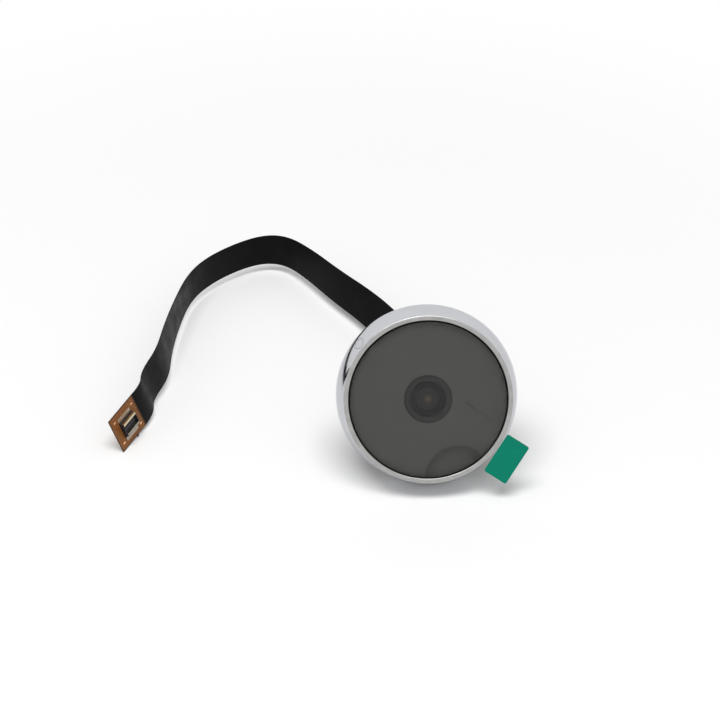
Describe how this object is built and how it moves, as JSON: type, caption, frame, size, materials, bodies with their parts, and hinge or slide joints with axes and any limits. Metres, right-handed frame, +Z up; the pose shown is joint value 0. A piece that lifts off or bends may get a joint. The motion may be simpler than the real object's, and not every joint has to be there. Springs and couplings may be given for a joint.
{
  "type": "peephole door camera",
  "caption": "Round chrome door camera with a smoked window over the lens, a threaded tube through the door and a flat cable to a board connector.",
  "frame": {"origin": "centre of the gasket face that lies against the door, on the optical axis", "axes": "+Z up and -Y towards the viewer, with the camera lying as pictured on its rim and its tube end; the window looks forward and 26.4 degrees up"},
  "size_m": [0.1301, 0.134, 0.0527],
  "materials": {
    "chrome_shell": "polished chrome plating",
    "smoked_glass": "dark smoked glass, polished",
    "adhesive": "black adhesive",
    "dark_panel": "dark grey, infrared-clear, matte",
    "clear_film": "clear soft film",
    "green_tab": "green tape, satin",
    "back_plate_metal": "die-cast, plain",
    "tube_metal": "threaded, bright",
    "gasket_foam": "closed-cell foam",
    "screw_steel": "machined",
    "board_green": "solder mask",
    "sensor_package": "dark glossy package",
    "led_package": "pale package",
    "chip_black": "moulded, black",
    "capacitor_ceramic": "fired ceramic",
    "socket_plastic": "moulded, ivory",
    "holder_plastic": "moulded, black",
    "filter_glass": "coated glass",
    "barrel_black": "black anodised",
    "lens_glass": "coated lens glass",
    "collar_rubber": "soft black rubber",
    "grommet_rubber": "black rubber",
    "flex_black": "black cover film, satin",
    "flex_amber": "amber polyimide film",
    "stiffener_amber": "amber stiffener",
    "connector_black": "moulded, black",
    "contact_gold": "gold-plated contacts with tinned tails",
    "pad_copper": "bare copper"
  },
  "bodies": {
    "camera": {"housing": "chrome_shell", "front_window": "smoked_glass", "window_adhesive": "adhesive", "ir_panel": "dark_panel", "back_plate": "back_plate_metal", "threaded_tube": "tube_metal", "door_gasket": "gasket_foam", "plate_screws": "screw_steel", "camera_board": "board_green", "board_screws": "screw_steel", "image_sensor": "sensor_package", "ir_leds": "led_package", "light_sensor": "sensor_package", "video_chip": "chip_black", "capacitors": "capacitor_ceramic", "flex_socket": "socket_plastic", "lens_holder": "holder_plastic", "holder_screws": "screw_steel", "ir_filter": "filter_glass", "light_collar": "collar_rubber", "cable_grommet": "grommet_rubber", "flex_tail": "flex_black", "flex_cable": "flex_black", "connector_board": "flex_amber", "board_stiffener": "stiffener_amber", "connector_shell": "connector_black", "connector_contacts": "contact_gold", "connector_pads": "pad_copper"},
    "film": {"protective_film": "clear_film", "pull_tab": "green_tab"},
    "lens": {"lens_barrel": "barrel_black", "lens_front_glass": "lens_glass", "lens_retaining_ring": "barrel_black", "lens_rear_glass": "lens_glass"}
  },
  "joints": [
    {"name": "film_peel", "type": "slide", "parent": "camera", "child": "film", "axis": [0, -0.8958, 0.4445], "range_m": [0, 0.03]},
    {"name": "lens_focus", "type": "hinge", "parent": "camera", "child": "lens", "pos_m": [0, 0, 0], "axis": [0, -0.8958, 0.4445], "range_deg": [-180, 180]}
  ]
}
